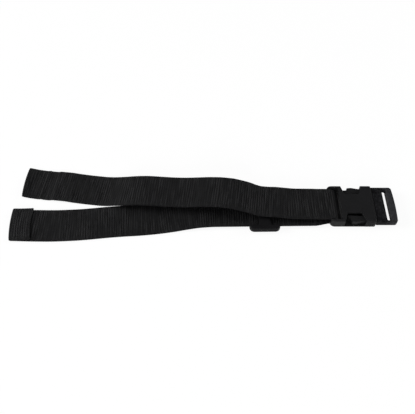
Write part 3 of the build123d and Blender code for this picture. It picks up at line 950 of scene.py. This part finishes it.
@dataclass
class HemStitches:
    """Rows of lock stitches that hold the folded hem. Sizes are in millimetres."""

    rows: int = 3
    count: int = 10              # stitches in a row
    length: float = 2.2          # of one stitch
    thread: float = 0.35         # radius
    dip: float = 1.1             # how deep a stitch's two ends go into the cloth
    dip_sharpness: int = 5       # the higher, the flatter a stitch lies between them
    plies: int = 3
    ply_relief: float = 0.12     # share of the radius by which the plies stand out
    ply_turn: float = 5.0        # radians of twist over half a stitch
    steps: int = 10
    ring: int = 8

    def build(self) -> bpy.types.Object:
        """Build one bent, twisted thread for every stitch, inside the CAD group's box.

        Returns:
            The object that holds all stitches.
        """
        low, high = (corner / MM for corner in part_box("hem_stitching"))
        verts: list[Point] = []
        faces: list[tuple[int, ...]] = []
        left = low.x + self.thread
        pitch_x = (high.x - low.x - 2 * self.thread) / (self.rows - 1)
        first = low.y + self.thread + self.length / 2
        pitch_y = (high.y - low.y - 2 * self.thread - self.length) / (self.count - 1)
        for r in range(self.rows):
            for i in range(self.count):
                faces += tube_faces(len(verts), self.steps + 1, self.ring)
                verts += self.stitch(left + r * pitch_x, first + i * pitch_y, high.z - self.thread)
        return add_mesh("hem_thread", verts, faces)

    def stitch(self, x: float, y: float, top: float) -> list[Point]:
        """Shape one stitch: a thread that dips into the cloth at both ends.

        Args:
            x: place along the strip.
            y: middle of the stitch across the strip.
            top: height of the thread's middle.

        Returns:
            The stitch's vertices, ring by ring, in metres.
        """
        verts: list[Point] = []
        for i in range(self.steps + 1):
            t = i / self.steps * 2 - 1
            dip = self.dip * abs(t) ** self.dip_sharpness
            for j in range(self.ring):
                a = 2 * math.pi * j / self.ring
                wide = self.thread * (1 + self.ply_relief * math.cos(self.plies * a + self.ply_turn * t))
                verts.append(((x + wide * math.cos(a)) * MM, (y + t * self.length / 2) * MM,
                              (top - dip + wide * math.sin(a)) * MM))
        return verts

    def dress(self, piece: bpy.types.Object) -> None:
        """Give the stitches their thread, hang them on the strap's body and hide the CAD stitching.

        Args:
            piece: the object that holds all stitches.
        """
        piece.data.materials.append(BondedThread().build())
        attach(piece, Body.STRAP.value)
        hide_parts("hem_stitching")
        log.info("hem stitching: %d faces", len(piece.data.polygons))


@dataclass
class Hardware:
    """The moulded pieces: socket, plug with its two arms, and tri-glide."""

    smooth: tuple[str, ...] = ("socket", "plug_arm_far", "plug_arm_near")
    coarse: tuple[str, ...] = ("plug",)
    slider: tuple[str, ...] = ("tri_glide",)
    end_bar: Pair = (12.5, 5.5)  # mm from the plug's outer face: where the painted highlight on the end bar starts and is full

    def dress(self) -> None:
        """Give every moulded piece its finish."""
        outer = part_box("plug")[1].x / MM
        satin = MouldedAcetal().build()
        # the plug: pale edges as wear and painted highlight, and a painted highlight on the end bar
        rough = MouldedAcetal("coarse_acetal", face="#020203", paler_tone="#68686c", grain=1.6, mottle=0.15,
                              cloud=0.05, speck_fade=0.42, shine=0.05, edge_share=1.0,
                              tone_ramp=(outer - self.end_bar[0], outer - self.end_bar[1]),
                              end_highlight_share=0.095, roughness=0.6).build()
        dark = MouldedAcetal("shaded_acetal", paler_tone="#1c1c1e", shine=0.05, recess=2.5,
                             edge_share=1.0).build()
        for finish, names in ((satin, self.smooth), (rough, self.coarse), (dark, self.slider)):
            for name in names:
                node = frame["nodes"][name]
                node.data.materials.clear()
                node.data.materials.append(finish)
                log.info("%s: %d faces", name, len(node.data.polygons))


@dataclass(frozen=True)
class Lamp:
    """One soft square lamp that points at the strap."""

    name: str
    place: Point                 # metres
    size: float                  # side of the square, metres
    power: float                 # watts

    def hang(self) -> None:
        """Add the lamp to the scene."""
        data = bpy.data.lights.new(self.name, "AREA")
        data.energy = self.power
        data.size = self.size
        lamp = bpy.data.objects.new(self.name, data)
        lamp.location = self.place
        lamp.rotation_mode = "QUATERNION"
        lamp.rotation_quaternion = (-Vector(self.place)).to_track_quat("-Z", "Y")
        bpy.context.scene.collection.objects.link(lamp)


@dataclass
class Studio:
    """Pale floor, soft lamps and the camera."""

    bar: StrapBar
    elevation: float = 55.0      # degrees
    distance: float = 586.0      # mm
    lens: float = 49.0           # mm
    sensor: float = 36.0         # mm
    clip_start: float = 0.01     # metres
    aim: Pair = (-126.5, 2.5)    # mm from the bar
    half_floor: float = 6.0      # metres from the middle of the floor to its edge
    paper: str = "#f4f4f4"
    white_share: float = 0.9     # how far the floor shows plain white rather than its shade
    room_light: float = 0.15
    lamps: tuple[Lamp, ...] = (
        Lamp("left", (-3.6, 0.3, 1.65), 1.7, 148),
        Lamp("right", (2.6, 0.5, 1.0), 1.1, 41),
        Lamp("front", (-0.3, -2.6, 1.1), 1.2, 50),
        Lamp("top", (-0.1, 0.4, 1.6), 1.4, 6))

    def floor(self) -> None:
        """Lay a large pale floor that shows white but keeps the soft shadow."""
        size = self.half_floor
        ground = add_mesh("floor", [(-size, -size, 0), (size, -size, 0), (size, size, 0), (-size, size, 0)],
                          [(0, 1, 2, 3)], smooth=False)
        material, tree = new_material("white_sweep")
        path = add_node(tree, "ShaderNodeLightPath")
        seen = add_node(tree, "ShaderNodeMath", {"operation": "ADD", "use_clamp": True},
                        {0: path.outputs["Is Camera Ray"], 1: path.outputs["Is Glossy Ray"]})
        share = add_node(tree, "ShaderNodeMath", {"operation": "MULTIPLY"},
                         {0: seen.outputs[0], 1: self.white_share})
        paper = add_node(tree, "ShaderNodeBsdfDiffuse", inputs={"Color": linear(self.paper)})
        glow = add_node(tree, "ShaderNodeEmission", inputs={"Color": (1, 1, 1, 1), "Strength": 1.0})
        mix = add_node(tree, "ShaderNodeMixShader",
                       inputs={0: share.outputs[0], 1: paper.outputs[0], 2: glow.outputs[0]})
        add_node(tree, "ShaderNodeOutputMaterial", inputs={"Surface": mix.outputs[0]})
        ground.data.materials.append(material)

    def lights(self) -> None:
        """Hang the lamps and set the even light of the room."""
        for lamp in self.lamps:
            lamp.hang()
        world = bpy.data.worlds.new("room")
        world.use_nodes = True
        tree = world.node_tree
        back = tree.nodes["Background"]
        back.inputs[0].default_value = (1, 1, 1, 1)
        back.inputs[1].default_value = self.room_light
        path = add_node(tree, "ShaderNodeLightPath")
        plain = add_node(tree, "ShaderNodeBackground", inputs={0: (1, 1, 1, 1), 1: 1.0})
        seen = add_node(tree, "ShaderNodeMixShader",
                        inputs={0: path.outputs["Is Camera Ray"], 1: back.outputs[0],
                                2: plain.outputs[0]})
        tree.links.new(seen.outputs[0], tree.nodes["World Output"].inputs[0])
        bpy.context.scene.world = world
        bpy.context.scene.view_settings.view_transform = "Standard"

    def camera(self) -> None:
        """Set the camera over the near side of the strap."""
        data = bpy.data.cameras.new("camera")
        data.lens = self.lens
        data.sensor_width = self.sensor
        data.clip_start = self.clip_start
        eye = bpy.data.objects.new("camera", data)
        target = Vector((self.bar.centre.x + self.aim[0], self.bar.centre.y + self.aim[1], 0)) * MM
        a = math.radians(self.elevation)
        back = Vector((0, -math.cos(a), math.sin(a)))
        eye.location = target + back * self.distance * MM
        eye.rotation_mode = "QUATERNION"
        eye.rotation_quaternion = (-back).to_track_quat("-Z", "Y")
        bpy.context.scene.collection.objects.link(eye)
        bpy.context.scene.camera = eye


def main() -> None:
    """Build the strap's pieces in order, then the studio."""
    logging.basicConfig(level=logging.INFO)
    bar = StrapBar.from_frame()
    webbing = FoldedWebbing(bar)
    webbing.dress(webbing.build())
    for name, first in (("sealed_end", True), ("hem_raw_edge", False)):
        edge = SealedEdge(name, webbing.end_line(first))
        edge.dress(edge.build())
    stitches = HemStitches()
    stitches.dress(stitches.build())
    Hardware().dress()
    studio = Studio(bar)
    studio.floor()
    studio.lights()
    studio.camera()


if __name__ == "__main__":
    main()
